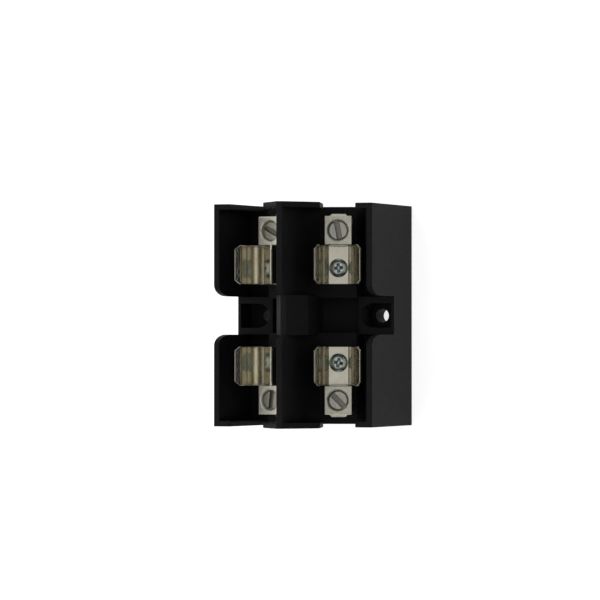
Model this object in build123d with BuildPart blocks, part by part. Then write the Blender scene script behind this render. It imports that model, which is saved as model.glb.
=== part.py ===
from build123d import *
import os
from math import cos, radians, sin, tan

# Two-pole fuse block for 2 in x 9/16 in cartridge fuses, lying on its mounting face.
# X runs across the poles, Y along the fuses, Z out of the mounting face. All sizes in mm.
# The origin is the centre of the mounting face. Each pole leans outward by pole_cant.

# Block
block_width = 60.0
block_length = 80.0
wall_height = 46.0
wall_thickness = 2.1
base_inset = 0.8
end_wall = 2.0

# Pole seats: a canted platform carries each clip and its lug above a parallel canted floor
pole_cant = 17.5
seat_x = 10.7
seat_z = 26.2
platform_outer_x = 16.9
platform_inner_x = 4.2
platform_gap_half = 6.25
floor_drop = 8.5

# Centre barrier with its finger notch, and the wedge that carries it between the poles
barrier_height = 60.0
barrier_thickness = 2.2
barrier_foot_z = 35.6
barrier_overhang = 0.4
notch_depth = 4.5
notch_half = 7.2
notch_corner_r = 4.4
wedge_eave_x = 6.0
wedge_drop = 9.5
wedge_root_x = 2.5
wedge_edge_r = 0.9

# End returns, which narrow the wire openings
outer_return_top_x = 23.7
outer_return_foot_x = 21.0
barrier_return_tip_x = 10.8
barrier_return_drop = 13.0
barrier_return_waist_x = 5.4

# Mounting ears, each with a blind-ended pocket for a screw head
ear_height = 21.0
ear_half = 6.9
ear_inner_x = 16.4
ear_corner_y = 4.0
ear_corner_z = 11.0
ear_pocket_width = 8.8
ear_pocket_inner_x = 17.7
ear_pocket_wall = 1.2
ear_pocket_floor = 9.7
mounting_pitch = 43.5
mounting_hole_d = 5.0

# Cored back
core_skin = 2.6
core_roof = 4.6
core_inner_x = 3.6
core_start = 9.4
boss_r = 4.6
boss_depth = 10.0

# Fuse clips
sheet = 0.8
fuse_r = 7.15
fuse_height = 10.5
clip_start = 11.25
clip_length = 14.05
clip_bottom_half = 3.65
grip_low_angle = -48.0
grip_high_angle = 22.0
neck_half = 6.5
neck_height = 16.2
neck_r = 1.2
lip_inner_half = 8.05
lip_height = 18.1
lip_chamfer = 1.5
tang_width = 6.5
tang_end = 36.7
tang_chamfer = 0.8

# Box lugs and their clamp screws
lug_gap = 0.1
lug_width = 9.7
lug_length = 10.3
lug_top = 8.2
lug_floor = 1.5
lug_side = 1.3
lug_roof = 2.0
lug_corner_r = 0.25
lug_seat_gap = 0.15
clamp_screw_r = 3.5
clamp_screw_gap = 0.05
clamp_screw_length = 4.0
clamp_screw_sunk = 1.2
clamp_rim_r = 4.0
slot_width = 1.9
slot_depth = 1.3
point_chamfer = 0.6

# Clip screws and the threaded inserts that take them
clip_screw_along = 17.1
clip_head_r = 3.35
clip_head_height = 2.1
clip_head_slope_across = 1.3
clip_head_slope_height = 0.9
clip_shank_r = 1.95
clip_shank_length = 7.0
clip_hole_r = 2.15
cross_length = 3.6
cross_width = 0.9
cross_depth = 1.1
insert_r = 3.0
insert_bore_r = 2.0
insert_length = 7.4
insert_gap = 0.05

half_width = block_width / 2
half_length = block_length / 2
barrier_half = barrier_thickness / 2
base_end = half_length - base_inset
clip_end = clip_start + clip_length
lug_start = clip_end + lug_gap
lug_end = lug_start + lug_length
lug_mid = (lug_start + lug_end) / 2
notch_floor = barrier_height - notch_depth
wedge_eave_z = notch_floor - wedge_drop
barrier_return_tip_z = barrier_height - barrier_return_drop
cant = radians(pole_cant)

# Slot directions as they stand on the block, measured in each seat's own frame
slot_angles = {
    ("right", "upper"): 11.0,
    ("right", "lower"): 45.0,
    ("left", "upper"): 66.0,
    ("left", "lower"): -7.0,
}
sides = {"left": -1, "right": 1}
ends = {"lower": -1, "upper": 1}


def platform_z(x):
    """Height of the canted platform at a distance x from the centre plane."""
    return seat_z - (x - seat_x) * tan(cant)


def floor_z(x):
    """Height of the canted floor, parallel to the platform."""
    return platform_z(x) - floor_drop


def seat_frame(side, end):
    """Frame on a platform: x across it, y along the fuse towards the named end, z away from it."""
    s, e = sides[side], ends[end]
    return Plane(
        origin=(s * seat_x, 0, seat_z),
        x_dir=(e * cos(cant), 0, -e * s * sin(cant)),
        z_dir=(s * sin(cant), 0, cos(cant)),
    )


def cross_plane(frame, along):
    """Plane across a seat at a distance along the fuse, facing the end, with the seat's z upward."""
    return Plane(
        origin=frame.from_local_coords(Vector(0, along, 0)),
        x_dir=-frame.x_dir,
        z_dir=frame.y_dir,
    )


def symmetric_face(points):
    """Face from the right half of an outline, mirrored in the sketch's vertical axis."""
    with BuildLine() as outline:
        Polyline(*points)
        mirror(about=Plane.YZ)
    make_face(outline.edges())


def wall_notch():
    """Gap in an outer wall above the ear, with tall rounded upper corners."""
    low = wall_height - ear_corner_z
    with BuildLine() as outline:
        Line((0, ear_height), (ear_half, ear_height))
        Line((ear_half, ear_height), (ear_half, low))
        EllipticalCenterArc(
            (ear_half + ear_corner_y, low), ear_corner_y, ear_corner_z, start_angle=90, arc_size=90
        )
        Line((ear_half + ear_corner_y, wall_height), (0, wall_height))
        mirror(about=Plane.YZ)
    make_face(outline.edges())


def barrier_side():
    """Side view of the centre barrier, with the shallow notch between the fuses' middles."""
    low = floor_z(0)
    end = half_length + barrier_overhang
    with BuildLine() as outline:
        Line((0, low), (end, low))
        Line((end, low), (end, barrier_height))
        Line((end, barrier_height), (notch_half + notch_corner_r, barrier_height))
        RadiusArc(
            (notch_half + notch_corner_r, barrier_height),
            (notch_half, barrier_height - notch_corner_r),
            -notch_corner_r,
        )
        Line((notch_half, barrier_height - notch_corner_r), (notch_half, notch_floor))
        Line((notch_half, notch_floor), (0, notch_floor))
        mirror(about=Plane.YZ)
    make_face(outline.edges())


def make_housing():
    """The one-piece black moulding: walls, floors, platforms, barrier, ears and cored back."""
    inner_wall_x = half_width - wall_thickness
    with BuildPart() as housing:
        # Floors and outer walls
        with BuildSketch(Plane.XZ):
            symmetric_face(
                [
                    (0, 0),
                    (half_width, 0),
                    (half_width, wall_height),
                    (inner_wall_x, wall_height),
                    (inner_wall_x, floor_z(inner_wall_x)),
                    (0, floor_z(0)),
                ]
            )
        extrude(amount=base_end, both=True)
        # Gaps in the outer walls above the ears
        with BuildSketch(Plane.YZ):
            wall_notch()
        extrude(amount=half_width, both=True, mode=Mode.SUBTRACT)
        # Ears
        with BuildSketch(Plane.XY):
            with Locations(((half_width + ear_inner_x) / 2, 0), (-(half_width + ear_inner_x) / 2, 0)):
                Rectangle(half_width - ear_inner_x, 2 * ear_half)
        extrude(amount=ear_height)
        # Clip platforms, two long blocks with a gap between them at the middle
        for end in ends.values():
            with BuildSketch(Plane.XZ.offset(-end * platform_gap_half)):
                symmetric_face(
                    [
                        (0, floor_z(platform_outer_x)),
                        (platform_outer_x, floor_z(platform_outer_x)),
                        (platform_outer_x, platform_z(platform_outer_x)),
                        (platform_inner_x, platform_z(platform_inner_x)),
                        (barrier_half, barrier_foot_z),
                        (0, barrier_foot_z),
                    ]
                )
            extrude(amount=-end * (base_end - platform_gap_half))
        # Barrier
        with BuildSketch(Plane.YZ):
            barrier_side()
        extrude(amount=barrier_half, both=True)
        # Wedge under the notch, undercut on both sides along the lean of the poles
        with BuildSketch(Plane.XZ):
            symmetric_face(
                [
                    (0, floor_z(wedge_root_x)),
                    (wedge_root_x, floor_z(wedge_root_x)),
                    (wedge_eave_x, wedge_eave_z),
                    (barrier_half, notch_floor),
                    (0, notch_floor),
                ]
            )
        extrude(amount=notch_half, both=True)
        eaves = (
            housing.edges()
            .filter_by(Axis.Y)
            .filter_by_position(Axis.Z, wedge_eave_z - slot_width, wedge_eave_z + slot_width)
            .filter_by_position(Axis.X, -wedge_eave_x, wedge_eave_x)
            .filter_by_position(Axis.Y, -notch_half, notch_half)
        )
        fillet(eaves, radius=wedge_edge_r)
        # End returns of the outer walls
        for end in ends.values():
            with BuildSketch(Plane.XZ.offset(-end * (half_length - end_wall))):
                for side in sides.values():
                    with BuildLine():
                        Polyline(
                            (side * half_width, 0),
                            (side * half_width, wall_height),
                            (side * outer_return_top_x, wall_height),
                            (side * outer_return_foot_x, 0),
                            close=True,
                        )
                    make_face()
            extrude(amount=-end * end_wall)
            # End return of the barrier
            with BuildSketch(Plane.XZ.offset(-end * (half_length + barrier_overhang - end_wall))):
                symmetric_face(
                    [
                        (0, platform_z(barrier_return_waist_x)),
                        (barrier_return_waist_x, platform_z(barrier_return_waist_x)),
                        (barrier_return_tip_x, barrier_return_tip_z),
                        (barrier_half, barrier_height),
                        (0, barrier_height),
                    ]
                )
            extrude(amount=-end * end_wall)
        # Ear pockets and mounting holes
        pocket_r = ear_pocket_width / 2
        pocket_end = half_width - ear_pocket_wall
        round_x = ear_pocket_inner_x + pocket_r
        with BuildSketch(Plane.XY.offset(ear_height)):
            for side in sides.values():
                with Locations((side * round_x, 0)):
                    Circle(pocket_r)
                with Locations((side * (round_x + pocket_end) / 2, 0)):
                    Rectangle(pocket_end - round_x, ear_pocket_width)
        extrude(amount=ear_pocket_floor - ear_height, mode=Mode.SUBTRACT)
        with BuildSketch(Plane.XY):
            with GridLocations(mounting_pitch, 0, 2, 1):
                Circle(mounting_hole_d / 2)
        extrude(amount=ear_pocket_floor, mode=Mode.SUBTRACT)
        # Cores in the back, one under each platform, with the insert bosses left standing in them
        riser_x = platform_outer_x - core_skin
        core_outer_x = inner_wall_x - core_skin / 2
        core_length = base_end - core_skin - core_start
        for end in ends.values():
            with BuildSketch(Plane.XZ.offset(-end * core_start)):
                for side in sides.values():
                    with BuildLine():
                        Polyline(
                            (side * core_inner_x, 0),
                            (side * core_outer_x, 0),
                            (side * core_outer_x, floor_z(core_outer_x) - core_skin),
                            (side * riser_x, floor_z(riser_x) - core_skin),
                            (side * riser_x, platform_z(riser_x) - core_roof),
                            (side * core_inner_x, platform_z(core_inner_x) - core_roof),
                            close=True,
                        )
                    make_face()
            extrude(amount=-end * core_length, mode=Mode.SUBTRACT)
        for side in sides:
            for end in ends:
                frame = seat_frame(side, end)
                with BuildSketch(frame.offset(-boss_depth)):
                    with Locations((0, clip_screw_along)):
                        Circle(boss_r)
                extrude(amount=boss_depth - core_roof / 2)
                # Hole for the insert
                with BuildSketch(frame):
                    with Locations((0, clip_screw_along)):
                        Circle(insert_r + insert_gap)
                extrude(amount=-insert_length - insert_gap, mode=Mode.SUBTRACT)
                # Seat for the lug's floor
                with BuildSketch(frame):
                    with Locations((0, lug_mid)):
                        Rectangle(lug_width + 2 * lug_seat_gap, lug_length + 2 * lug_seat_gap)
                extrude(amount=-lug_floor - insert_gap, mode=Mode.SUBTRACT)
    return housing


def clip_outline():
    """Bent sheet in section: flat bottom, two sprung grips round the fuse, and flared lips."""
    low, high = radians(grip_low_angle), radians(grip_high_angle)
    grip_low = (fuse_r * cos(low), fuse_height + fuse_r * sin(low))
    grip_mid = (fuse_r, fuse_height)
    grip_high = (fuse_r * cos(high), fuse_height + fuse_r * sin(high))
    with BuildLine() as outline:
        Line((0, sheet), (clip_bottom_half, sheet))
        Line((clip_bottom_half, sheet), grip_low)
        ThreePointArc(grip_low, grip_mid, grip_high)
        Line(grip_high, (neck_half, neck_height))
        Line((neck_half, neck_height), (lip_inner_half, lip_height))
        fillet(outline.vertices().filter_by_position(Axis.Y, neck_height, neck_height), neck_r)
        mirror(about=Plane.YZ)
        offset(amount=sheet, side=Side.RIGHT)
    make_face(outline.edges())


def make_clip(side, end):
    """One fuse clip with the tang that reaches through its lug."""
    frame = seat_frame(side, end)
    with BuildPart() as clip:
        with BuildSketch(cross_plane(frame, clip_start)):
            clip_outline()
        extrude(amount=clip_length)
        # Clipped corners of the lips
        with BuildSketch(Plane(origin=frame.origin, x_dir=frame.y_dir, z_dir=frame.x_dir)):
            with Locations((clip_start, lip_height), (clip_end, lip_height)):
                Rectangle(lip_chamfer * 2**0.5, lip_chamfer * 2**0.5, rotation=45)
        extrude(amount=2 * lip_inner_half, both=True, mode=Mode.SUBTRACT)
        # Tang, with the corners of its tip clipped
        with BuildSketch(frame):
            with Locations((0, (clip_end + tang_end) / 2)):
                tip = Rectangle(tang_width, tang_end - clip_end)
            chamfer(tip.vertices().group_by(Axis.Y)[-1], tang_chamfer)
        extrude(amount=sheet)
        # Hole for the clip screw
        with BuildSketch(frame):
            with Locations((0, clip_screw_along)):
                Circle(clip_hole_r)
        extrude(amount=sheet, mode=Mode.SUBTRACT)
    return clip


def make_lug(side, end):
    """Box lug: a square collar round the tang, tapped in its roof for the clamp screw."""
    frame = seat_frame(side, end)
    with BuildPart() as lug:
        with BuildSketch(cross_plane(frame, lug_start)):
            with Locations((0, (lug_top - lug_floor) / 2)):
                Rectangle(lug_width, lug_top + lug_floor)
            window_top = lug_top - lug_roof
            with Locations((0, window_top / 2)):
                RectangleRounded(lug_width - 2 * lug_side, window_top, lug_corner_r, mode=Mode.SUBTRACT)
        extrude(amount=lug_length)
        with BuildSketch(frame.offset(lug_top)):
            with Locations((0, lug_mid)):
                Circle(clamp_screw_r + clamp_screw_gap)
        extrude(amount=-lug_roof - lug_corner_r, mode=Mode.SUBTRACT)
        # Countersunk rim
        rim_depth = clamp_rim_r - clamp_screw_r - clamp_screw_gap
        with BuildSketch(frame.offset(lug_top)):
            with Locations((0, lug_mid)):
                Circle(clamp_rim_r)
        extrude(amount=-rim_depth, taper=45, mode=Mode.SUBTRACT)
    return lug


def make_clamp_screw(side, end):
    """Slotted set screw that presses a wire onto the tang."""
    frame = seat_frame(side, end)
    top = lug_top - clamp_screw_sunk
    with BuildPart() as screw:
        with BuildSketch(frame.offset(top - clamp_screw_length + point_chamfer)):
            with Locations((0, lug_mid)):
                Circle(clamp_screw_r)
        extrude(amount=clamp_screw_length - point_chamfer)
        with BuildSketch(frame.offset(top - clamp_screw_length + point_chamfer)):
            with Locations((0, lug_mid)):
                Circle(clamp_screw_r)
        extrude(amount=-point_chamfer, taper=45)
        with BuildSketch(frame.offset(top)):
            with Locations((0, lug_mid)):
                Rectangle(slot_width, 3 * clamp_screw_r, rotation=slot_angles[side, end])
        extrude(amount=-slot_depth, mode=Mode.SUBTRACT)
    return screw


def make_clip_screw(side, end):
    """Cross-recess pan head screw that holds the clip to its platform."""
    frame = seat_frame(side, end)
    with BuildPart() as screw:
        with BuildSketch(frame.offset(sheet)):
            with Locations((0, clip_screw_along)):
                Circle(clip_head_r)
        extrude(amount=clip_head_height)
        crown = screw.faces().sort_by(Axis(frame.origin, frame.z_dir))[-1]
        chamfer(crown.edges(), length=clip_head_slope_height, length2=clip_head_slope_across, reference=crown)
        with BuildSketch(frame.offset(sheet + clip_head_height)):
            with Locations((0, clip_screw_along)):
                Rectangle(cross_width, cross_length, rotation=45)
                Rectangle(cross_length, cross_width, rotation=45)
        extrude(amount=-cross_depth, mode=Mode.SUBTRACT)
        with BuildSketch(frame.offset(sheet)):
            with Locations((0, clip_screw_along)):
                Circle(clip_shank_r)
        extrude(amount=-clip_shank_length)
    return screw


def make_insert(side, end):
    """Threaded insert moulded into the platform under a clip."""
    frame = seat_frame(side, end)
    with BuildPart() as insert:
        with BuildSketch(frame):
            with Locations((0, clip_screw_along)):
                Circle(insert_r)
                Circle(insert_bore_r, mode=Mode.SUBTRACT)
        extrude(amount=-insert_length)
    return insert


makers = {
    "fuse_clip": make_clip,
    "box_lug": make_lug,
    "clamp_screw": make_clamp_screw,
    "clip_screw": make_clip_screw,
    "threaded_insert": make_insert,
}

os.makedirs("parts", exist_ok=True)
housing = make_housing()
housing.part.label = "housing"
export_step(housing.part, "parts/housing.step")
for kind, make in makers.items():
    for side in sides:
        for end in ends:
            piece = make(side, end)
            piece.part.label = f"{kind}_{side}_{end}"
            export_step(piece.part, f"parts/{piece.part.label}.step")
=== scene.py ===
"""Looks of a two-pole fuse block: black moulding, plated clips, box lugs and screws.

X runs across the poles, Y along the fuses and Z out of the mounting face, in metres.
Each pole has a seat that leans outward; a point on it is given as across (u), along (y)
and rise (w), and placed() turns those into the block's frame.
"""

import math

import bmesh
import bpy
import numpy as np
from mathutils import Matrix, Vector


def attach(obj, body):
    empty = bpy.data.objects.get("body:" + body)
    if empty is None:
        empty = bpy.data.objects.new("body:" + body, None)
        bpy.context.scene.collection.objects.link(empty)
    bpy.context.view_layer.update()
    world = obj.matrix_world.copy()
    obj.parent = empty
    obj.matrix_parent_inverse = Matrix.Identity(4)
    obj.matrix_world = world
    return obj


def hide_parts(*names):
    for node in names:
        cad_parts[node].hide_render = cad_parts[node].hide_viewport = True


bl_info = {
    "name": "Fuse block",
    "version": (1, 0, 0),
    "blender": (4, 5, 0),
    "location": "View3D > Sidebar > Fuse block",
    "description": "Dresses a two-pole fuse block with its finishes, threads and stage",
    "category": "Object",
}

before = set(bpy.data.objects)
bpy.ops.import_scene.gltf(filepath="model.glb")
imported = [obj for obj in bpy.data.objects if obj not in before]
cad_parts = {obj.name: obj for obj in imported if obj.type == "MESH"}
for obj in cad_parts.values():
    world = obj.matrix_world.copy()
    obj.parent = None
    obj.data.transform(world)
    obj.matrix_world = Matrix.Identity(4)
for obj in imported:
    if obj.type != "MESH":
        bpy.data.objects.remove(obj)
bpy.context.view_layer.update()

MM = 0.001
SIDES = {"left": -1, "right": 1}
ENDS = {"lower": -1, "upper": 1}

# Seats, as the block holds them
CANT = math.radians(17.5)
SEAT_X = 10.7 * MM
SEAT_Z = 26.2 * MM

# Clips
SHEET = 0.8 * MM
FUSE_R = 7.15 * MM
FUSE_RISE = 10.5 * MM
CLIP_START = 11.25 * MM
CLIP_END = 25.3 * MM
CLIP_BOTTOM_HALF = 3.65 * MM
GRIP_ANGLES = (math.radians(-48.0), math.radians(22.0))
NECK_HALF = 6.5 * MM
NECK_RISE = 16.2 * MM
LIP_HALF = 8.05 * MM
LIP_RISE = 18.1 * MM
LIP_CORNER = 1.5 * MM
TANG_HALF = 3.25 * MM
TANG_END = 36.7 * MM
TANG_CORNER = 0.8 * MM
LIP_START = NECK_RISE + 0.3 * MM

# Bends of the clip's strip: tight at its bottom, wider from one rise on, with a span to change
# over, and the points and steps that draw them
PATH_STEP = 0.1 * MM
TIGHT_BEND = 0.5 * MM
WIDE_BEND = 1.2 * MM
WIDENING_RISE = 9.0 * MM
WIDENING_SPAN = 4.0 * MM
GRIP_POINTS = 60
TANG_POINTS = 60
CORNER_STEPS = 4

# Clamp screws. The point is the chamfered end below the thread.
LUG_MIDDLE = 30.55 * MM
CLAMP_R = 3.5 * MM
CLAMP_TOP = 7.0 * MM
CLAMP_LENGTH = 4.0 * MM
SLOT_WIDTH = 1.9 * MM
SLOT_DEPTH = 1.3 * MM
SLOT_BREAK = 0.08 * MM
THREAD_DEPTH = 0.45 * MM
POINT_LENGTH = 0.6 * MM
POINT_FALL = 0.5 * MM

# Clip screws. The crown falls from the centre to the shoulder, the foot is the chamfer under the
# head, and the recess's cutter leads in from above the crown.
CLIP_SCREW_ALONG = 17.1 * MM
HEAD_R = 3.35 * MM
HEAD_HEIGHT = 2.1 * MM
SHANK_R = 1.95 * MM
SHANK_LENGTH = 7.0 * MM
CROWN_FALL = 1.1 * MM
SHOULDER_R = 0.12 * MM
HEAD_FOOT = 0.1 * MM
RECESS_LENGTH = 4.2 * MM
RECESS_WIDTH = 1.2 * MM
RECESS_DEPTH = 1.1 * MM
RECESS_TAPER = 1.5 * MM
RECESS_LEAD = 0.2 * MM
RECESS_BREAK = 0.05 * MM

# Turned pieces: facets round them, points along a head's shoulder and its crown, rows in each
# pitch of a thread, and the share of a pitch in which it fades out
COLUMNS = 72
SHOULDER_POINTS = 7
CROWN_POINTS = 14
THREAD_ROWS = 12
THREAD_FADE = 0.4

# Points closer than this are merged, in a new mesh and in a node's loose triangles
SAME_POINT = 0.001 * MM
SAME_NODE_POINT = 0.002 * MM

# Directions of the slots and of the cross recesses in degrees, each in its seat's own frame
SLOT_ANGLES = {
    ("right", "upper"): 11.0,
    ("right", "lower"): 45.0,
    ("left", "upper"): 66.0,
    ("left", "lower"): -7.0,
}
CROSS_ANGLES = {
    ("right", "upper"): 6.0,
    ("right", "lower"): -10.0,
    ("left", "upper"): -6.0,
    ("left", "lower"): 10.0,
}


class MouldingSettings(bpy.types.PropertyGroup):
    """Sizes and colours of the black moulding."""

    edge: bpy.props.FloatProperty(
        name="Edge radius", description="Rounding of the moulding's edges",
        default=0.22 * MM, unit="LENGTH", precision=5)
    grain: bpy.props.FloatProperty(
        name="Grain", description="Size of the filler's grain",
        default=0.25 * MM, unit="LENGTH", precision=5)
    dark: bpy.props.StringProperty(
        name="Dark", description="Darkest tone of the phenolic, sRGB hex", default="1F1F20")
    light: bpy.props.StringProperty(
        name="Light", description="Lightest tone of the phenolic, sRGB hex", default="272728")
    speck: bpy.props.StringProperty(
        name="Speck", description="Bare filler at the surface, sRGB hex", default="393836")


class ClipSettings(bpy.types.PropertyGroup):
    """Sizes and colours of the sprung clips."""

    edge: bpy.props.FloatProperty(
        name="Edge radius", description="Rounding of the sheared edges",
        default=0.18 * MM, unit="LENGTH", precision=5)
    tint: bpy.props.StringProperty(
        name="Plating", description="Nickel plating over brass, sRGB hex", default="CBC7B9")
    worn: bpy.props.StringProperty(
        name="Worn", description="Tone of the thin plating in patches, sRGB hex", default="C2BDAC")
    # Lighter than the plating: partly the burnished edge, partly a painted highlight along the
    # edges
    edge_tint_and_highlight: bpy.props.StringProperty(
        name="Edge", description="Plating on the sheared edges, sRGB hex", default="E6E2D8")
    torn: bpy.props.StringProperty(
        name="Torn", description="Brass on the torn half of the edges, sRGB hex", default="8F8873")
    torn_dark: bpy.props.StringProperty(
        name="Torn, dark", description="Darker patches of the torn brass, sRGB hex",
        default="77705C")


class LugSettings(bpy.types.PropertyGroup):
    """Sizes and colours of the box lugs."""

    edge: bpy.props.FloatProperty(
        name="Edge radius", description="Tumbled edge of the lug",
        default=0.25 * MM, unit="LENGTH", precision=5)
    tint: bpy.props.StringProperty(
        name="Tin", description="Tumbled tin plating, sRGB hex", default="E6E4D6")
    shade: bpy.props.StringProperty(
        name="Shade", description="Duller patches of the tin, sRGB hex", default="D8D6C8")


class ScrewSettings(bpy.types.PropertyGroup):
    """Sizes and colours of the screws and their inserts."""

    edge: bpy.props.FloatProperty(
        name="Chamfer", description="Chamfer round the clamp screw's top face",
        default=0.38 * MM, unit="LENGTH", precision=5)
    pitch: bpy.props.FloatProperty(
        name="Thread pitch", description="Pitch of the clamp screw's thread",
        default=1.0 * MM, unit="LENGTH", precision=5)
    steel: bpy.props.StringProperty(
        name="Clamp steel", description="Clear zinc on the clamp screws, sRGB hex",
        default="BAB8B0")
    steel_dull: bpy.props.StringProperty(
        name="Clamp steel, dull", description="Duller patches of the clear zinc, sRGB hex",
        default="A9A79F")
    # The slot's two colours are darker than the steel: painted shade in the slot's recess
    slot: bpy.props.StringProperty(
        name="Sawn slot", description="Thin zinc in the sawn slots, sRGB hex", default="969489")
    shaded_slot_dull: bpy.props.StringProperty(
        name="Sawn slot, dull", description="Duller patches in the sawn slots, sRGB hex",
        default="807E76")
    zinc: bpy.props.StringProperty(
        name="Blue zinc", description="Blue-passivated zinc of the clip screws, sRGB hex",
        default="CBD6D3")
    zinc_dull: bpy.props.StringProperty(
        name="Blue zinc, dull", description="Duller patches of the blue zinc, sRGB hex",
        default="B5C2C0")
    brass: bpy.props.StringProperty(
        name="Brass", description="Turned brass of the inserts, sRGB hex", default="C9A35A")
    brass_dull: bpy.props.StringProperty(
        name="Brass, dull", description="Duller patches of the brass, sRGB hex",
        default="B58E48")


class StageSettings(bpy.types.PropertyGroup):
    """Camera, and colours of the ground and the room."""

    yaw: bpy.props.FloatProperty(
        name="Yaw", description="Camera's turn towards the right wall",
        default=math.radians(19.54), subtype="ANGLE")
    tilt: bpy.props.FloatProperty(
        name="Tilt", description="Camera's rise towards the upper end",
        default=math.radians(-0.55), subtype="ANGLE")
    distance: bpy.props.FloatProperty(
        name="Distance", description="Camera to the mounting face's centre",
        default=1.6, unit="LENGTH")
    lens: bpy.props.FloatProperty(
        name="Lens", description="Focal length on a 36 mm sensor, in millimetres", default=261.2)
    offset_right: bpy.props.FloatProperty(
        name="Offset right", description="Camera's slide to its right",
        default=-12.62 * MM, unit="LENGTH", precision=5)
    offset_up: bpy.props.FloatProperty(
        name="Offset up", description="Camera's slide upwards",
        default=5.84 * MM, unit="LENGTH", precision=5)
    paper: bpy.props.StringProperty(
        name="Paper", description="Ground under the block, sRGB hex", default="F4F4F4")
    room: bpy.props.StringProperty(
        name="Room", description="Light of the room, sRGB hex", default="FFFDF9")


def linear(code):
    """Linear colour of an sRGB hex code, opaque."""
    srgb = np.array([int(code[i:i + 2], 16) for i in (0, 2, 4)]) / 255.0
    rgb = np.where(srgb <= 0.04045, srgb / 12.92, ((srgb + 0.055) / 1.055) ** 2.4)
    return (*rgb.tolist(), 1.0)


def add_node(tree, kind, inputs=None, **settings):
    """Adds a node; inputs maps a socket to a value, or to the output that feeds it."""
    node = tree.nodes.new(kind)
    for name, value in settings.items():
        setattr(node, name, value)
    for socket, value in (inputs or {}).items():
        if isinstance(value, bpy.types.NodeSocket):
            tree.links.new(value, node.inputs[socket])
        else:
            node.inputs[socket].default_value = value
    return node


def new_material(name):
    """Empty node material and its tree."""
    material = bpy.data.materials.new(name)
    material.use_nodes = True
    material.node_tree.nodes.clear()
    return material, material.node_tree


def moulded_phenolic(settings):
    """Compression-moulded phenolic: near black and semi-matt, with a fine filler grain that softens
    its gloss."""
    material, tree = new_material("moulded_black_phenolic")
    place = add_node(tree, "ShaderNodeTexCoord").outputs["Object"]
    grain = add_node(tree, "ShaderNodeTexNoise", {
        "Vector": place, "Scale": 1.0 / settings.grain, "Detail": 3.0, "Roughness": 0.6})
    # Flow marks of the moulding are a few millimetres long
    flow = add_node(tree, "ShaderNodeTexNoise", {
        "Vector": place, "Scale": 1.0 / (7.0 * MM), "Detail": 4.0, "Roughness": 0.55,
        "Distortion": 0.4})
    tone = add_node(tree, "ShaderNodeMix", {
        0: flow.outputs["Fac"], 6: linear(settings.dark), 7: linear(settings.light),
    }, data_type="RGBA")
    # Wood flour lies bare in small specks, real ones about 0.3 mm wide, drawn at 0.7 mm to show
    specks = add_node(tree, "ShaderNodeTexNoise", {
        "Vector": place, "Scale": 1.0 / (0.7 * MM), "Detail": 2.0, "Roughness": 0.4})
    bare = add_node(tree, "ShaderNodeMapRange", {
        "Value": specks.outputs["Fac"], "From Min": 0.68, "From Max": 0.78})
    tone = add_node(tree, "ShaderNodeMix", {
        0: bare.outputs[0], 6: tone.outputs[2], 7: linear(settings.speck)}, data_type="RGBA")
    gloss = add_node(tree, "ShaderNodeMapRange", {
        "Value": specks.outputs["Fac"], "From Min": 0.3, "From Max": 0.7,
        "To Min": 0.43, "To Max": 0.55})
    bump = add_node(tree, "ShaderNodeBump", {
        "Height": grain.outputs["Fac"], "Strength": 0.35, "Distance": 0.03 * MM})
    shader = add_node(tree, "ShaderNodeBsdfPrincipled", {
        "Base Color": tone.outputs[2], "Roughness": gloss.outputs[0], "IOR": 1.5,
        "Specular IOR Level": 0.02, "Normal": bump.outputs[0]})
    add_node(tree, "ShaderNodeOutputMaterial", {"Surface": shader.outputs[0]})
    return material


def plated_metal(name, bright, dull, roughness, spot, grit,
                 stretch=(1.0, 1.0, 1.0), relief=0.002 * MM):
    """Plated or bare metal: two tones in patches as wide as spot, and a fine relief of grit, or of
    drawing lines where the pattern is stretched."""
    material, tree = new_material(name)
    place = add_node(tree, "ShaderNodeTexCoord").outputs["Object"]
    patches = add_node(tree, "ShaderNodeTexNoise", {
        "Vector": place, "Scale": 1.0 / spot, "Detail": 3.0, "Roughness": 0.6})
    stretched = add_node(tree, "ShaderNodeMapping", {"Vector": place, "Scale": stretch})
    lines = add_node(tree, "ShaderNodeTexNoise", {
        "Vector": stretched.outputs[0], "Scale": 1.0 / grit, "Detail": 2.0, "Roughness": 0.5})
    blend = add_node(tree, "ShaderNodeMapRange", {
        "Value": patches.outputs["Fac"], "From Min": 0.35, "From Max": 0.65})
    tone = add_node(tree, "ShaderNodeMix", {
        0: blend.outputs[0], 6: linear(bright), 7: linear(dull)}, data_type="RGBA")
    rough = add_node(tree, "ShaderNodeMapRange", {
        "Value": lines.outputs["Fac"], "From Min": 0.3, "From Max": 0.7,
        "To Min": roughness * 0.8, "To Max": roughness * 1.25})
    bump = add_node(tree, "ShaderNodeBump", {
        "Height": lines.outputs["Fac"], "Strength": 1.0, "Distance": relief})
    shader = add_node(tree, "ShaderNodeBsdfPrincipled", {
        "Base Color": tone.outputs[2], "Metallic": 1.0, "Roughness": rough.outputs[0],
        "Normal": bump.outputs[0]})
    add_node(tree, "ShaderNodeOutputMaterial", {"Surface": shader.outputs[0]})
    return material


def bevelled(piece, radius, limit):
    """Rounds a piece's edges that are sharper than the limit, in degrees."""
    edge = piece.modifiers.new("edge", "BEVEL")
    edge.width = radius
    edge.segments = 2
    edge.limit_method = "ANGLE"
    edge.angle_limit = math.radians(limit)
    edge.use_clamp_overlap = False
    return crisp(piece)


def smoothed(mesh):
    """Smooth shading for all the faces of a mesh."""
    mesh.polygons.foreach_set("use_smooth", np.ones(len(mesh.polygons), dtype=bool))


def linked(name, data):
    """New object in the scene that shows a mesh, a lamp or a camera."""
    piece = bpy.data.objects.new(name, data)
    bpy.context.collection.objects.link(piece)
    return piece


def flattened(shape, angle):
    """Joins the faces of a shape that lie within the angle of one plane, in degrees."""
    bmesh.ops.dissolve_limit(
        shape, angle_limit=math.radians(angle), verts=shape.verts, edges=shape.edges)


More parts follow.
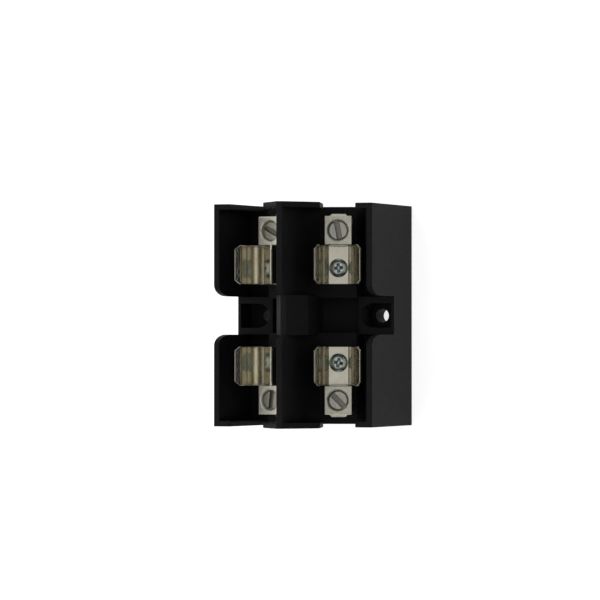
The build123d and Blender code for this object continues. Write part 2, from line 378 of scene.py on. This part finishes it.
def rounded_copy(node, name, radius):
    """A node's own shape, with its loose triangles joined and its edges rounded."""
    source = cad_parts[node]
    mesh = source.data.copy()
    mesh.name = name
    mesh.transform(source.matrix_world)
    shape = bmesh.new()
    shape.from_mesh(mesh)
    bmesh.ops.remove_doubles(shape, verts=shape.verts, dist=SAME_NODE_POINT)
    flattened(shape, 1.0)
    shape.to_mesh(mesh)
    shape.free()
    smoothed(mesh)
    mesh.materials.clear()
    return bevelled(linked(name, mesh), radius, 28.0)


def placed(points, side, end):
    """Points of a seat's own frame, turned into the block's: its origin, plus across, along and
    rise times its three axes."""
    s, e = SIDES[side], ENDS[end]
    across = np.array([e * math.cos(CANT), 0.0, -e * s * math.sin(CANT)])
    along = np.array([0.0, e, 0.0])
    rise = np.array([s * math.sin(CANT), 0.0, math.cos(CANT)])
    origin = np.array([s * SEAT_X, 0.0, SEAT_Z])
    return origin + points[..., :1] * across + points[..., 1:2] * along + points[..., 2:] * rise


def piece_of(name, grids, finishes=None):
    """One piece from grids of points whose columns run round a loop. Equal points at poles and ends
    are merged. finishes gives, for each grid, the number of each face's material."""
    points, quads, first = [], [], 0
    for grid in grids:
        rows, columns = grid.shape[:2]
        index = first + np.arange(rows * columns).reshape(rows, columns)
        beside = np.roll(index, -1, axis=1)
        corners = [index[:-1], beside[:-1], beside[1:], index[1:]]
        quads.append(np.stack(corners, axis=-1).reshape(-1, 4))
        points.append(grid.reshape(-1, 3))
        first += rows * columns
    mesh = bpy.data.meshes.new(name)
    mesh.from_pydata(np.concatenate(points).tolist(), [], np.concatenate(quads).tolist())
    if finishes:
        numbers = np.concatenate([finish.ravel() for finish in finishes]).astype(np.int32)
        mesh.polygons.foreach_set("material_index", numbers)
    shape = bmesh.new()
    shape.from_mesh(mesh)
    bmesh.ops.remove_doubles(shape, verts=shape.verts, dist=SAME_POINT)
    bmesh.ops.recalc_face_normals(shape, faces=shape.faces)
    shape.to_mesh(mesh)
    shape.free()
    smoothed(mesh)
    return linked(name, mesh)


def crisp(piece):
    """Lets the large faces of a piece set the shading of its small edges."""
    piece.modifiers.new("shading", "WEIGHTED_NORMAL").keep_sharp = True
    return piece


def dressed(piece, *finishes):
    """Gives a piece its materials, in order."""
    for finish in finishes:
        piece.data.materials.append(finish)
    return piece


def carved(piece, cutters, edge):
    """Cuts the cutters out of a piece, removes them, and breaks the edges that they left. The cut
    faces take the cutters' material."""
    for cutter in cutters:
        cut = piece.modifiers.new("cut", "BOOLEAN")
        cut.operation = "DIFFERENCE"
        cut.solver = "EXACT"
        cut.material_mode = "TRANSFER"
        cut.object = cutter
    bpy.context.view_layer.update()
    whole = piece.evaluated_get(bpy.context.evaluated_depsgraph_get())
    mesh = bpy.data.meshes.new_from_object(whole)
    piece.modifiers.clear()
    shape = bmesh.new()
    shape.from_mesh(mesh)
    flattened(shape, 0.5)
    shape.to_mesh(mesh)
    shape.free()
    piece.data = mesh
    for cutter in cutters:
        bpy.data.objects.remove(cutter)
    return bevelled(piece, edge, 40.0)


def strip_grid(path, half_width, through, corner):
    """Strip of sheet bent along a path in its plane: point = path + depth * normal, set out
    sideways by the half width. The section is a rectangle with quarter-circle corners, and both
    ends draw in the same way. Returns, as grids, the two coordinates in the path's plane and the
    one across it."""
    steps = CORNER_STEPS
    turn = np.linspace(0.0, math.pi / 2, steps + 1)
    run = np.concatenate([[0.0], np.cumsum(np.linalg.norm(np.diff(path, axis=0), axis=1))])
    within = (run >= corner) & (run <= run[-1] - corner)
    path, half_width = path[within], half_width[within]
    tangent = np.gradient(path, axis=0)
    tangent /= np.linalg.norm(tangent, axis=1, keepdims=True)
    reach, inset = corner * np.sin(turn), corner * (1.0 - np.cos(turn))
    head = path[0] - reach[::-1, None] * tangent[0]
    tail = path[-1] + reach[:, None] * tangent[-1]
    line = np.concatenate([head[:1], head, path[1:-1], tail, tail[-1:]])
    inside = len(path) - 2
    slim = np.concatenate([inset[-1:], inset[::-1], np.zeros(inside), inset, inset[-1:]])
    flat = np.concatenate([[0.0], np.ones(len(slim) - 2), [0.0]])
    ahead = np.concatenate([
        np.repeat(tangent[:1], steps + 2, axis=0), tangent[1:-1],
        np.repeat(tangent[-1:], steps + 2, axis=0)])
    half = np.concatenate([
        np.full(steps + 2, half_width[0]), half_width[1:-1],
        np.full(steps + 2, half_width[-1])])
    normal = np.stack([-ahead[:, 1], ahead[:, 0]], axis=1)
    quarter = np.arange(4)[:, None] * math.pi / 2 + turn[None, :]
    corner_x = np.repeat([1.0, -1.0, -1.0, 1.0], steps + 1)
    corner_y = np.repeat([1.0, 1.0, -1.0, -1.0], steps + 1)
    circle_x, circle_y = np.cos(quarter).ravel(), np.sin(quarter).ravel()
    middle, deep = (through[0] + through[1]) / 2, (through[1] - through[0]) / 2
    side = (half - slim)[:, None] * corner_x - corner * (corner_x - circle_x)
    depth = (deep - slim)[:, None] * corner_y - corner * (corner_y - circle_y)
    depth = middle + depth * flat[:, None]
    plane = line[:, None, :] + depth[..., None] * normal[:, None, :]
    return plane[..., 0], plane[..., 1], side


def strip_finish(grid):
    """Number of the finish of each face of a strip's grid. The sheared faces, which are its two
    sides, rounded corners and ends, have 1, and the outer half of its ends has 3. Its two rolled
    faces have 2 on the lips, above the necks, and 0 below them."""
    steps = CORNER_STEPS
    rolled = [steps, 3 * steps + 2]
    finish = np.ones((grid.shape[0] - 1, grid.shape[1]), dtype=int)
    finish[[0, -1], rolled[1]] = 3
    lip = grid[steps + 1:-steps - 2, steps, 2] > LIP_START
    finish[steps + 1:-steps - 1, rolled] = np.where(lip, 2, 0)[:, None]
    return finish


def evened(points, step):
    """The same path with its points a step apart along it."""
    along = np.concatenate([[0.0], np.cumsum(np.linalg.norm(np.diff(points, axis=0), axis=1))])
    places = np.linspace(0.0, along[-1], int(along[-1] / step) + 1)
    return np.stack([np.interp(places, along, points[:, k]) for k in range(2)], axis=1)


def averaged(points, step, width):
    """The path with each point replaced by the mean of those within half a width of it, which
    rounds its bends."""
    reach = int(width / step / 2)
    kernel = np.ones(2 * reach + 1) / (2 * reach + 1)
    lead = points[0] - (points[1] - points[0]) * np.arange(reach, 0, -1)[:, None]
    tail = points[-1] + (points[-1] - points[-2]) * np.arange(1, reach + 1)[:, None]
    longer = np.concatenate([lead, points, tail])
    return np.stack([np.convolve(longer[:, k], kernel, mode="valid") for k in range(2)], axis=1)


def clip_path():
    """Inner line of the clip, from lip to lip: flat bottom, straight flanks, arcs about the fuse,
    upright arms and flared lips. Averaging rounds its bends: tightly at the bottom, widely at the
    necks."""
    angle = np.linspace(*GRIP_ANGLES, GRIP_POINTS)
    grip = np.stack([FUSE_R * np.cos(angle), FUSE_RISE + FUSE_R * np.sin(angle)], axis=1)
    half = np.concatenate([
        [[CLIP_BOTTOM_HALF, SHEET]], grip, [[NECK_HALF, NECK_RISE], [LIP_HALF, LIP_RISE]]])
    whole = np.concatenate([half[::-1] * (-1.0, 1.0), half])
    even = evened(whole, PATH_STEP)
    tight = averaged(even, PATH_STEP, TIGHT_BEND)
    wide = averaged(even, PATH_STEP, WIDE_BEND)
    blend = np.clip((even[:, 1:] - WIDENING_RISE) / WIDENING_SPAN, 0.0, 1.0)
    return tight + (wide - tight) * blend


def clip_grids(edge):
    """The clip's bent strip, and the tang that runs on from its bottom."""
    path = clip_path()
    half = (CLIP_END - CLIP_START) / 2
    width = half - np.clip(path[:, 1] - (LIP_RISE - LIP_CORNER), 0.0, LIP_CORNER)
    across, rise, along = strip_grid(path, width, (-SHEET, 0.0), edge)
    bent = np.stack([across, along + (CLIP_START + CLIP_END) / 2, rise], axis=-1)
    run = np.linspace(CLIP_END - SHEET, TANG_END, TANG_POINTS)
    narrow = TANG_HALF - np.clip(run - (TANG_END - TANG_CORNER), 0.0, TANG_CORNER)
    level = np.stack([run, np.full(len(run), SHEET / 2)], axis=1)
    along, rise, across = strip_grid(level, narrow, (-SHEET / 2, SHEET / 2), edge)
    return [bent, np.stack([across, along, rise], axis=-1)]


def turned_grid(radius, rise):
    """Surface of revolution: each row is a circle of its radius at its rise; a radius of 0 closes
    it."""
    angle = np.linspace(0.0, 2 * math.pi, COLUMNS, endpoint=False)
    ring = np.stack([np.cos(angle), np.sin(angle)], axis=-1)
    rows = radius[:, None, None] * ring[None]
    heights = np.broadcast_to(rise[:, None, None], (*rows.shape[:2], 1))
    return np.concatenate([rows, heights], axis=-1)


def threaded_grid(radius, depth, pitch, low, high):
    """Screw thread: the radius falls below the crest by depth times a triangle wave of rise / pitch
    less the turn, so that the groove climbs one pitch a turn. It fades out at both ends."""
    rows = int((high - low) / pitch * THREAD_ROWS) + 1
    rise = np.linspace(low, high, rows)[:, None]
    angle = np.linspace(0.0, 2 * math.pi, COLUMNS, endpoint=False)[None]
    wave = 2.0 * np.abs((rise / pitch - angle / (2 * math.pi)) % 1.0 - 0.5)
    fade = np.clip(np.minimum(rise - low, high - rise) / (THREAD_FADE * pitch), 0.0, 1.0)
    bore = radius - depth * (fade * wave + (1.0 - fade))
    height = np.broadcast_to(rise, bore.shape)
    return np.stack([bore * np.cos(angle), bore * np.sin(angle), height], axis=-1)


def blade(length, width, low, high, taper, turn):
    """Cutter shaped like a screwdriver's blade, long along the seat before it is turned: a box
    whose foot is shorter than its mouth by the taper at each end, and thinner by a quarter of it.
    The turn is in degrees."""
    foot = np.array([width / 2 - taper / 8, length / 2 - taper])
    mouth = np.array([width / 2, length / 2])
    signs = np.array([[-1, -1], [1, -1], [1, 1], [-1, 1]])
    rings = np.stack([signs * 0.0, signs * foot, signs * mouth, signs * 0.0])
    heights = np.array([low, low, high, high])
    flat = np.concatenate([rings, np.broadcast_to(heights[:, None, None], (4, 4, 1))], axis=-1)
    c, s = math.cos(math.radians(turn)), math.sin(math.radians(turn))
    spin = np.array([[c, s, 0.0], [-s, c, 0.0], [0.0, 0.0, 1.0]])
    return flat @ spin


def clamp_screw_piece(name, side, end, settings, metal, sawn):
    """Threaded set screw with a chamfered point, and a straight slot in its top face."""
    foot, top = CLAMP_TOP - CLAMP_LENGTH, CLAMP_TOP
    edge, root = settings.edge, CLAMP_R - THREAD_DEPTH
    thread_top = top - 1.5 * edge
    body = threaded_grid(CLAMP_R, THREAD_DEPTH, settings.pitch, foot + POINT_LENGTH, thread_top)
    crown_r = np.array([CLAMP_R, CLAMP_R, CLAMP_R - 0.9 * edge, CLAMP_R - edge, 0.0])
    crown_z = np.array([thread_top, top - edge, top - 0.1 * edge, top, top])
    point_r = np.array([0.0, root - POINT_FALL, root])
    point_z = np.array([foot, foot, foot + POINT_LENGTH])
    crown, point = turned_grid(crown_r, crown_z), turned_grid(point_r, point_z)
    whole = np.concatenate([point, body, crown]) + (0.0, LUG_MIDDLE, 0.0)
    piece = piece_of(name, [placed(whole, side, end)])
    slot = blade(3 * CLAMP_R, SLOT_WIDTH, top - SLOT_DEPTH, top + SLOT_DEPTH, 0.0,
                 SLOT_ANGLES[side, end])
    cutter = piece_of("slot", [placed(slot + (0.0, LUG_MIDDLE, 0.0), side, end)])
    # The cut faces of the slot take its material, whose darker colour is painted shade
    return carved(dressed(piece, metal), [dressed(cutter, sawn)], SLOT_BREAK)


def clip_screw_piece(name, side, end, metal, inside):
    """Pan head screw with a tapered cross recess. Its crown falls by the fourth power of the
    radius, to a round shoulder."""
    low, high = SHEET, SHEET + HEAD_HEIGHT
    inner = HEAD_R - SHOULDER_R
    turn = np.linspace(0.0, math.pi / 2, SHOULDER_POINTS)
    crown_r = np.linspace(inner, 0.0, CROWN_POINTS)[1:]
    radius = np.concatenate([
        [0.0, SHANK_R, SHANK_R, HEAD_R - HEAD_FOOT, HEAD_R],
        inner + SHOULDER_R * np.cos(turn), crown_r])
    rise = np.concatenate([
        [low - SHANK_LENGTH, low - SHANK_LENGTH, low, low, low + HEAD_FOOT],
        high - CROWN_FALL - SHOULDER_R * (1.0 - np.sin(turn)),
        high - CROWN_FALL * (crown_r / inner) ** 4])
    whole = turned_grid(radius, rise) + (0.0, CLIP_SCREW_ALONG, 0.0)
    piece = dressed(piece_of(name, [placed(whole, side, end)]), metal)
    cutters = []
    for quarter in (0.0, 90.0):
        recess = blade(RECESS_LENGTH, RECESS_WIDTH, high - RECESS_DEPTH, high + RECESS_LEAD,
                       RECESS_TAPER, CROSS_ANGLES[side, end] + quarter)
        cutter = piece_of("recess", [placed(recess + (0.0, CLIP_SCREW_ALONG, 0.0), side, end)])
        cutters.append(dressed(cutter, inside))
    return carved(piece, cutters, RECESS_BREAK)


def stand_for(piece, node, body):
    """Makes a finished piece stand for a node and ride its body."""
    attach(piece, body)
    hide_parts(node)


def each_place():
    """Names of the four ends of the poles."""
    return [(side, end) for side in SIDES for end in ENDS]


class FUSEBLOCK_OT_moulding(bpy.types.Operator):
    """Dresses the one-piece moulding."""

    bl_idname = "fuseblock.moulding"
    bl_label = "Moulding"

    def execute(self, context):
        settings = context.scene.fuse_moulding
        piece = rounded_copy("housing", "moulded_housing", settings.edge)
        stand_for(dressed(piece, moulded_phenolic(settings)), "housing", "block")
        return {"FINISHED"}


class FUSEBLOCK_OT_clips(bpy.types.Operator):
    """Dresses the four sprung clips."""

    bl_idname = "fuseblock.clips"
    bl_label = "Fuse clips"

    def execute(self, context):
        settings = context.scene.fuse_clips
        # Rolled strip keeps faint lines along its length, real ones some hundredths of a
        # millimetre apart, drawn at 0.15 mm to show
        metal = plated_metal(
            "nickel_plated_spring_brass", settings.tint, settings.worn, 0.2, 3.0 * MM, 0.15 * MM,
            stretch=(1.0, 0.05, 1.0), relief=0.001 * MM)
        # A sheared edge is burnished on the punch's side and torn on the other, where it holds less
        # nickel. The lighter colour of the burnished side is partly the burnish and partly a
        # painted highlight along the edges
        sheared = plated_metal(
            "sheared_edge_painted_highlight", settings.edge_tint_and_highlight, settings.worn, 0.42, 0.6 * MM,
            0.1 * MM, relief=0.003 * MM)
        torn = plated_metal(
            "torn_brass_edge", settings.torn, settings.torn_dark, 0.55, 0.3 * MM, 0.1 * MM,
            relief=0.01 * MM)
        # Barrel plating knocks the lips together, which leaves them finely dented, drawn at
        # 0.5 mm to show
        lip = plated_metal(
            "barrel_plated_lip", settings.tint, settings.worn, 0.1, 1.0 * MM, 0.5 * MM,
            relief=0.06 * MM)
        strips = clip_grids(settings.edge)
        finishes = [strip_finish(grid) for grid in strips]
        for side, end in each_place():
            node = f"fuse_clip_{side}_{end}"
            grids = [placed(grid, side, end) for grid in strips]
            piece = crisp(piece_of(f"sprung_clip_{side}_{end}", grids, finishes))
            stand_for(dressed(piece, metal, sheared, lip, torn), node, "block")
        return {"FINISHED"}


class FUSEBLOCK_OT_lugs(bpy.types.Operator):
    """Dresses the four box lugs."""

    bl_idname = "fuseblock.lugs"
    bl_label = "Box lugs"

    def execute(self, context):
        settings = context.scene.fuse_lugs
        # Tumbling among chips before plating leaves the tin an even satin, and its edges round
        metal = plated_metal(
            "tumbled_tin_plate", settings.tint, settings.shade, 0.56, 1.2 * MM, 0.12 * MM)
        for side, end in each_place():
            node = f"box_lug_{side}_{end}"
            piece = rounded_copy(node, f"square_lug_{side}_{end}", settings.edge)
            stand_for(dressed(piece, metal), node, "block")
        return {"FINISHED"}


class FUSEBLOCK_OT_clamp_screws(bpy.types.Operator):
    """Dresses the four slotted clamp screws."""

    bl_idname = "fuseblock.clamp_screws"
    bl_label = "Clamp screws"

    def execute(self, context):
        settings = context.scene.fuse_screws
        # Clear zinc over turned steel is grey and satin
        metal = plated_metal(
            "zinc_plated_steel", settings.steel, settings.steel_dull, 0.42, 1.0 * MM, 0.1 * MM)
        # The slot is sawn after turning, so its faces are rougher, and its colours are darker than
        # the steel as painted shade in the slot's recess
        sawn = plated_metal(
            "slot_zinc_with_painted_shade", settings.slot, settings.shaded_slot_dull, 0.5, 0.7 * MM, 0.1 * MM)
        for side, end in each_place():
            node = f"clamp_screw_{side}_{end}"
            name = f"slotted_screw_{side}_{end}"
            piece = clamp_screw_piece(name, side, end, settings, metal, sawn)
            stand_for(piece, node, node)
        return {"FINISHED"}


class FUSEBLOCK_OT_clip_screws(bpy.types.Operator):
    """Dresses the four cross-recess screws that hold the clips."""

    bl_idname = "fuseblock.clip_screws"
    bl_label = "Clip screws"

    def execute(self, context):
        settings = context.scene.fuse_screws
        # Blue passivation gives bright zinc a cold tint
        metal = plated_metal(
            "blue_zinc_plate", settings.zinc, settings.zinc_dull, 0.3, 0.8 * MM, 0.1 * MM)
        # A punched recess isn't polished by the barrel, so its zinc stays matt
        matt = plated_metal(
            "matt_blue_zinc", settings.zinc, settings.zinc_dull, 0.48, 0.8 * MM, 0.1 * MM)
        for side, end in each_place():
            node = f"clip_screw_{side}_{end}"
            piece = clip_screw_piece(f"cross_screw_{side}_{end}", side, end, metal, matt)
            stand_for(piece, node, "block")
        return {"FINISHED"}


class FUSEBLOCK_OT_inserts(bpy.types.Operator):
    """Finishes the hidden inserts in turned brass."""

    bl_idname = "fuseblock.inserts"
    bl_label = "Inserts"

    def execute(self, context):
        settings = context.scene.fuse_screws
        # Brass bar turned on an automatic lathe stays bright where the moulding covers it
        metal = plated_metal(
            "turned_brass", settings.brass, settings.brass_dull, 0.3, 1.0 * MM, 0.1 * MM)
        for side, end in each_place():
            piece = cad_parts[f"threaded_insert_{side}_{end}"]
            piece.data.materials.clear()
            piece.data.materials.append(metal)
        return {"FINISHED"}


class FUSEBLOCK_OT_stage(bpy.types.Operator):
    """Sets the floor, the lamps and the camera."""

    bl_idname = "fuseblock.stage"
    bl_label = "Stage"

    def execute(self, context):
        settings = context.scene.fuse_stage
        set_floor(settings)
        set_world(settings)
        set_lamps()
        set_camera(context.scene, settings)
        return {"FINISHED"}


def set_floor(settings):
    """Wide pale floor just below the mounting face, which the camera and the reflections see as
    white, and which keeps a soft shadow."""
    half, low = 3.0, -0.05 * MM
    glow_in_metal, more_for_the_camera = 0.68, 0.1
    mesh = bpy.data.meshes.new("floor")
    corners = [(-half, -half, low), (half, -half, low), (half, half, low), (-half, half, low)]
    mesh.from_pydata(corners, [], [(0, 1, 2, 3)])
    floor = linked("floor", mesh)
    material, tree = new_material("pale_paper")
    rays = add_node(tree, "ShaderNodeLightPath")
    seen = add_node(tree, "ShaderNodeMath", {
        0: rays.outputs["Is Camera Ray"], 1: rays.outputs["Is Glossy Ray"],
    }, operation="MAXIMUM")
    seen = add_node(tree, "ShaderNodeMath", {
        0: seen.outputs[0], 1: rays.outputs["Is Transmission Ray"]}, operation="MAXIMUM")
    paper = add_node(tree, "ShaderNodeBsdfDiffuse", {"Color": linear(settings.paper)})
    level = add_node(tree, "ShaderNodeMath", {
        0: rays.outputs["Is Camera Ray"], 1: more_for_the_camera, 2: glow_in_metal,
    }, operation="MULTIPLY_ADD")
    glow = add_node(tree, "ShaderNodeEmission", {
        "Color": linear("FFFFFF"), "Strength": level.outputs[0]})
    both = add_node(tree, "ShaderNodeAddShader", {0: paper.outputs[0], 1: glow.outputs[0]})
    mix = add_node(tree, "ShaderNodeMixShader", {
        0: seen.outputs[0], 1: paper.outputs[0], 2: both.outputs[0]})
    add_node(tree, "ShaderNodeOutputMaterial", {"Surface": mix.outputs[0]})
    mesh.materials.append(material)


def set_world(settings):
    """Slightly warm room light, which falls off from the left to the right, over a pale wall low
    all round."""
    left_light, right_light, pale_wall = 0.85, 0.04, 0.9
    world = bpy.data.worlds.new("room")
    bpy.context.scene.world = world
    world.use_nodes = True
    tree = world.node_tree
    tree.nodes.clear()
    way = add_node(tree, "ShaderNodeSeparateXYZ", {
        "Vector": add_node(tree, "ShaderNodeTexCoord").outputs["Generated"]})
    level = add_node(tree, "ShaderNodeMapRange", {
        "Value": way.outputs["X"], "From Min": -0.9, "From Max": 0.0,
        "To Min": left_light, "To Max": right_light})
    wall = add_node(tree, "ShaderNodeMapRange", {
        "Value": way.outputs["Z"], "From Min": 0.075, "From Max": 0.11,
        "To Min": pale_wall, "To Max": 0.0})
    both = add_node(tree, "ShaderNodeMath", {
        0: level.outputs[0], 1: wall.outputs[0]}, operation="MAXIMUM")
    room = add_node(tree, "ShaderNodeBackground", {
        "Color": linear(settings.room), "Strength": both.outputs[0]})
    add_node(tree, "ShaderNodeOutputWorld", {"Surface": room.outputs[0]})


def set_lamps():
    """Soft boxes, aimed at the middle of the block: a large one in front, one low on each side and
    a small one above."""
    target = Vector((0, 0, 0.03))
    # Place and width of each in metres, and its power in watts
    places = {
        "front_box": ((0.05, 0.0, 1.5), 2.1, 9.4),
        "left_box": ((-1.3, 0.0, 0.95), 0.9, 2.8),
        "right_box": ((1.35, 0.0, 0.6), 0.8, 0.5),
        "top_box": ((-0.4, 1.2, 0.9), 0.4, 0.8),
    }
    for name, (place, size, power) in places.items():
        data = bpy.data.lights.new(name, "AREA")
        data.shape = "SQUARE"
        data.size = size
        data.energy = power
        lamp = linked(name, data)
        lamp.location = place
        lamp.rotation_euler = (target - Vector(place)).to_track_quat("-Z", "Y").to_euler()


def set_camera(scene, settings):
    """Long lens, turned towards the right wall, with the upper end up."""
    tilt, yaw = settings.tilt, settings.yaw
    back = Vector((math.sin(yaw) * math.cos(tilt), math.sin(tilt), math.cos(yaw) * math.cos(tilt)))
    right = Vector((0, 1, 0)).cross(back).normalized()
    up = back.cross(right)
    data = bpy.data.cameras.new("camera")
    data.lens = settings.lens
    data.sensor_width = 36.0
    data.clip_end = 20.0
    camera = linked("camera", data)
    place = back * settings.distance + right * settings.offset_right + up * settings.offset_up
    turn = Matrix((right, up, back)).transposed().to_4x4()
    camera.matrix_world = Matrix.Translation(place) @ turn
    scene.camera = camera
    scene.view_settings.view_transform = "Standard"


class FUSEBLOCK_PT_parts(bpy.types.Panel):
    """Lists what the add-on makes."""

    bl_label = "Fuse block"
    bl_idname = "FUSEBLOCK_PT_parts"
    bl_space_type = "VIEW_3D"
    bl_region_type = "UI"
    bl_category = "Fuse block"

    def draw(self, context):
        for name in STEPS:
            self.layout.operator(f"fuseblock.{name}")


STEPS = ("moulding", "clips", "lugs", "clamp_screws", "clip_screws", "inserts", "stage")
GROUPS = {
    "fuse_moulding": MouldingSettings,
    "fuse_clips": ClipSettings,
    "fuse_lugs": LugSettings,
    "fuse_screws": ScrewSettings,
    "fuse_stage": StageSettings,
}
CLASSES = (
    FUSEBLOCK_OT_moulding,
    FUSEBLOCK_OT_clips,
    FUSEBLOCK_OT_lugs,
    FUSEBLOCK_OT_clamp_screws,
    FUSEBLOCK_OT_clip_screws,
    FUSEBLOCK_OT_inserts,
    FUSEBLOCK_OT_stage,
    FUSEBLOCK_PT_parts,
)


def register():
    """Registers the settings, the operators and the panel."""
    for name, group in GROUPS.items():
        bpy.utils.register_class(group)
        setattr(bpy.types.Scene, name, bpy.props.PointerProperty(type=group))
    for cls in CLASSES:
        bpy.utils.register_class(cls)


def unregister():
    """Takes them all out again."""
    for cls in reversed(CLASSES):
        bpy.utils.unregister_class(cls)
    for name, group in GROUPS.items():
        delattr(bpy.types.Scene, name)
        bpy.utils.unregister_class(group)


def main():
    """Runs every step in order."""
    register()
    for name in STEPS:
        getattr(bpy.ops.fuseblock, name)()


if __name__ == "__main__":
    main()
